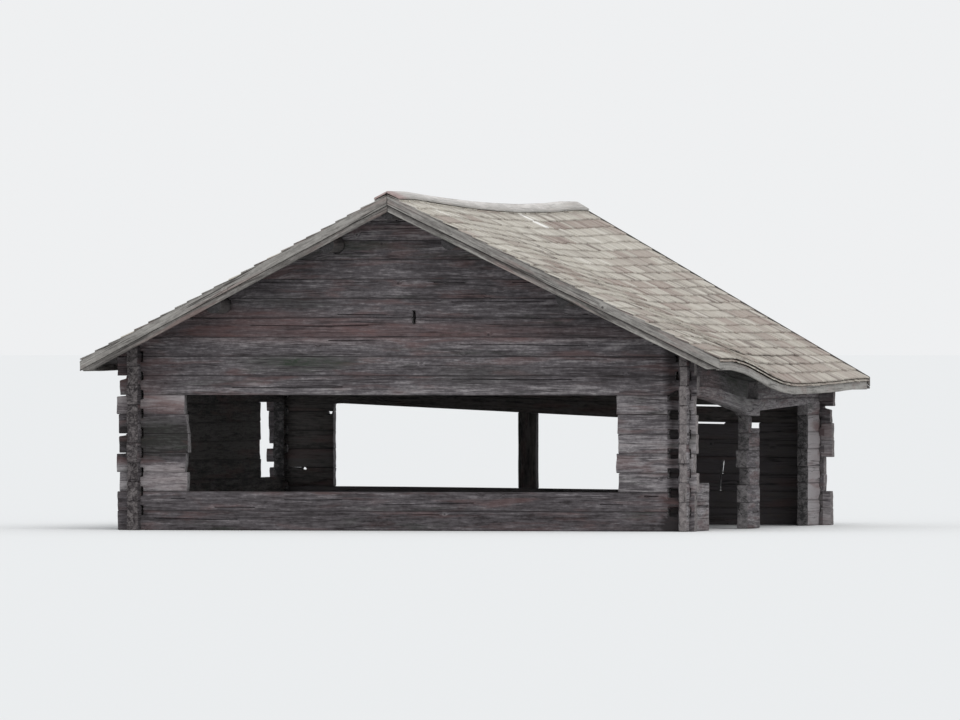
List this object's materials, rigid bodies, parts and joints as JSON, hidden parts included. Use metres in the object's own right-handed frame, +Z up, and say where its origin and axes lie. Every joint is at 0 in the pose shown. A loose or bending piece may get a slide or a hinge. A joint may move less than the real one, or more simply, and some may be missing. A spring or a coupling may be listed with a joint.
{
  "type": "log boathouse",
  "caption": "Small open log boathouse with notched corners, purlins and a low shingled gable roof that sags at one back corner.",
  "frame": {"origin": "middle of the building in plan, on the level that its lowest logs rest on", "axes": "+Y from the front gable to the back gable, +X to the right seen from the front, +Z up"},
  "size_m": [6.13, 6.27, 3.1599],
  "materials": {
    "dark_logs": "hewn logs weathered dark grey-brown, checked along the grain",
    "grey_logs": "hewn logs weathered to a paler grey, with pale cut ends",
    "roof_timber": "round purlins and rough boards, brown and sheltered",
    "shingles": "thin split shingles bleached to pale grey with lichen and dark streaks",
    "bleached_boards": "sawn boards bleached almost white",
    "trim_boards": "sawn barge and eave boards weathered grey-brown"
  },
  "bodies": {
    "root": {"front_sill_logs": "dark_logs", "front_left_pier": "dark_logs", "front_right_pier": "grey_logs", "front_lintel_logs": "grey_logs", "front_gable_logs": "dark_logs", "rear_sill_logs": "dark_logs", "rear_left_pier": "dark_logs", "rear_right_pier": "dark_logs", "rear_middle_post": "dark_logs", "rear_lintel_logs": "dark_logs", "rear_gable_logs": "dark_logs", "left_sill_logs": "dark_logs", "left_wall_logs": "dark_logs", "left_rear_stubs": "grey_logs", "left_top_logs": "dark_logs", "right_front_stubs": "grey_logs", "right_middle_pier": "dark_logs", "right_rear_pier": "dark_logs", "right_lintel_logs": "grey_logs", "right_plate_log": "dark_logs", "ridge_purlin": "roof_timber", "upper_purlin_left": "roof_timber", "upper_purlin_right": "roof_timber", "lower_purlin_left": "roof_timber", "lower_purlin_right": "roof_timber", "roof_boards_left": "roof_timber", "roof_boards_right": "roof_timber", "shingles_left": "shingles", "shingles_right": "shingles", "ridge_board_left": "bleached_boards", "ridge_board_right": "bleached_boards", "front_barge_left": "trim_boards", "front_barge_right": "trim_boards", "rear_barge_left": "trim_boards", "rear_barge_right": "trim_boards", "eave_board_left": "trim_boards", "eave_board_right": "trim_boards"}
  },
  "joints": []
}
